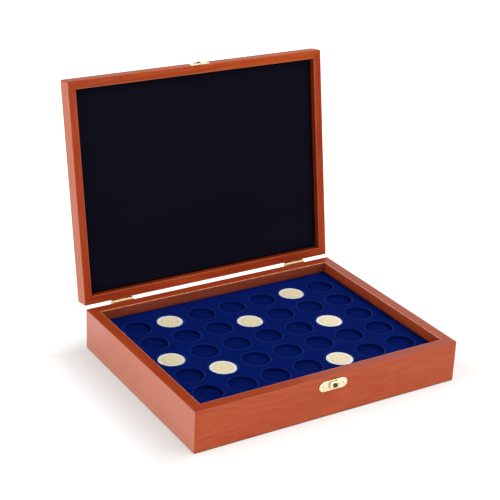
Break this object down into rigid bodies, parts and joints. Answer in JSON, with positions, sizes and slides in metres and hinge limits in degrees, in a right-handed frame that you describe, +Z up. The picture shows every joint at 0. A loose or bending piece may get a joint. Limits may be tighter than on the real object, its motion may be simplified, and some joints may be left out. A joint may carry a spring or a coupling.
{
  "type": "coin box",
  "caption": "Wooden coin box: hinged lined lid on stop hinges, push-button catch, and a lift-out flocked tray of round pockets with loose two-metal coins",
  "frame": {"origin": "centre of the base's underside, in the plane that the box rests on", "axes": "+X to the right along the front, +Y to the back where the hinges are, +Z up; the lid is open"},
  "size_m": [0.285, 0.2773, 0.2653],
  "materials": {
    "wood_front": "cherry-stained wood under satin varnish, grain along the front",
    "wood_side": "cherry-stained wood under satin varnish, grain along the side",
    "wood_lid_rail": "cherry-stained wood under satin varnish",
    "wood_lid_stile": "cherry-stained wood under satin varnish",
    "wood_panel": "cherry-stained panel under satin varnish",
    "wood_plain": "unvarnished wood",
    "velvet": "near-black navy velvet",
    "flock": "moulding flocked in royal blue",
    "brass": "bright brass plating",
    "blackened_steel": "blackened and polished",
    "spring_steel": "bright spring wire",
    "coin_ring": "silver-white struck metal",
    "coin_core": "pale gold struck metal"
  },
  "bodies": {
    "base": {"base_front_wall": "wood_front", "base_back_wall": "wood_front", "base_left_wall": "wood_side", "base_right_wall": "wood_side", "base_bottom_panel": "wood_panel", "tray_ledge_front": "wood_plain", "tray_ledge_back": "wood_plain", "tray_ledge_left": "wood_plain", "tray_ledge_right": "wood_plain", "hinge_left_base_leaf": "brass", "hinge_right_base_leaf": "brass", "hinge_left_pin": "brass", "hinge_right_pin": "brass", "base_hinge_screws": "brass", "lock_plate": "brass", "lock_housing": "brass", "lock_screws": "brass", "button_springs": "spring_steel"},
    "lid": {"lid_front_rail": "wood_lid_rail", "lid_back_rail": "wood_lid_rail", "lid_left_stile": "wood_lid_stile", "lid_right_stile": "wood_lid_stile", "lid_panel": "wood_panel", "lining_board": "wood_plain", "lid_lining": "velvet", "hinge_left_lid_leaf": "brass", "hinge_right_lid_leaf": "brass", "lid_hinge_screws": "brass", "lid_catch": "brass", "catch_rivet": "blackened_steel", "catch_screws": "brass"},
    "button": {"push_button": "blackened_steel"},
    "tray": {"coin_tray": "flock"},
    "coin_a2": {"coin_a2_ring": "coin_ring", "coin_a2_core": "coin_core"},
    "coin_a6": {"coin_a6_ring": "coin_ring", "coin_a6_core": "coin_core"},
    "coin_b4": {"coin_b4_ring": "coin_ring", "coin_b4_core": "coin_core"},
    "coin_c1": {"coin_c1_ring": "coin_ring", "coin_c1_core": "coin_core"},
    "coin_c6": {"coin_c6_ring": "coin_ring", "coin_c6_core": "coin_core"},
    "coin_d2": {"coin_d2_ring": "coin_ring", "coin_d2_core": "coin_core"},
    "coin_e5": {"coin_e5_ring": "coin_ring", "coin_e5_core": "coin_core"}
  },
  "joints": [
    {"name": "lid_hinge", "type": "hinge", "parent": "base", "child": "lid", "pos_m": [0, 0.11275, 0.0417], "axis": [-1, 0, 0], "range_deg": [-98.8, 0]},
    {"name": "button_press", "type": "slide", "parent": "base", "child": "button", "axis": [0, 1, 0], "range_m": [0, 0.0005], "stiffness_N_per_m": 1500, "springref_m": -0.0006, "deforming": ["button_springs"]},
    {"name": "tray_lift", "type": "slide", "parent": "base", "child": "tray", "axis": [0, 0, 1], "range_m": [0, 0.045]},
    {"name": "coin_a2_lift", "type": "slide", "parent": "tray", "child": "coin_a2", "axis": [0, 0, 1], "range_m": [0, 0.025]},
    {"name": "coin_a6_lift", "type": "slide", "parent": "tray", "child": "coin_a6", "axis": [0, 0, 1], "range_m": [0, 0.025]},
    {"name": "coin_b4_lift", "type": "slide", "parent": "tray", "child": "coin_b4", "axis": [0, 0, 1], "range_m": [0, 0.025]},
    {"name": "coin_c1_lift", "type": "slide", "parent": "tray", "child": "coin_c1", "axis": [0, 0, 1], "range_m": [0, 0.025]},
    {"name": "coin_c6_lift", "type": "slide", "parent": "tray", "child": "coin_c6", "axis": [0, 0, 1], "range_m": [0, 0.025]},
    {"name": "coin_d2_lift", "type": "slide", "parent": "tray", "child": "coin_d2", "axis": [0, 0, 1], "range_m": [0, 0.025]},
    {"name": "coin_e5_lift", "type": "slide", "parent": "tray", "child": "coin_e5", "axis": [0, 0, 1], "range_m": [0, 0.025]}
  ]
}
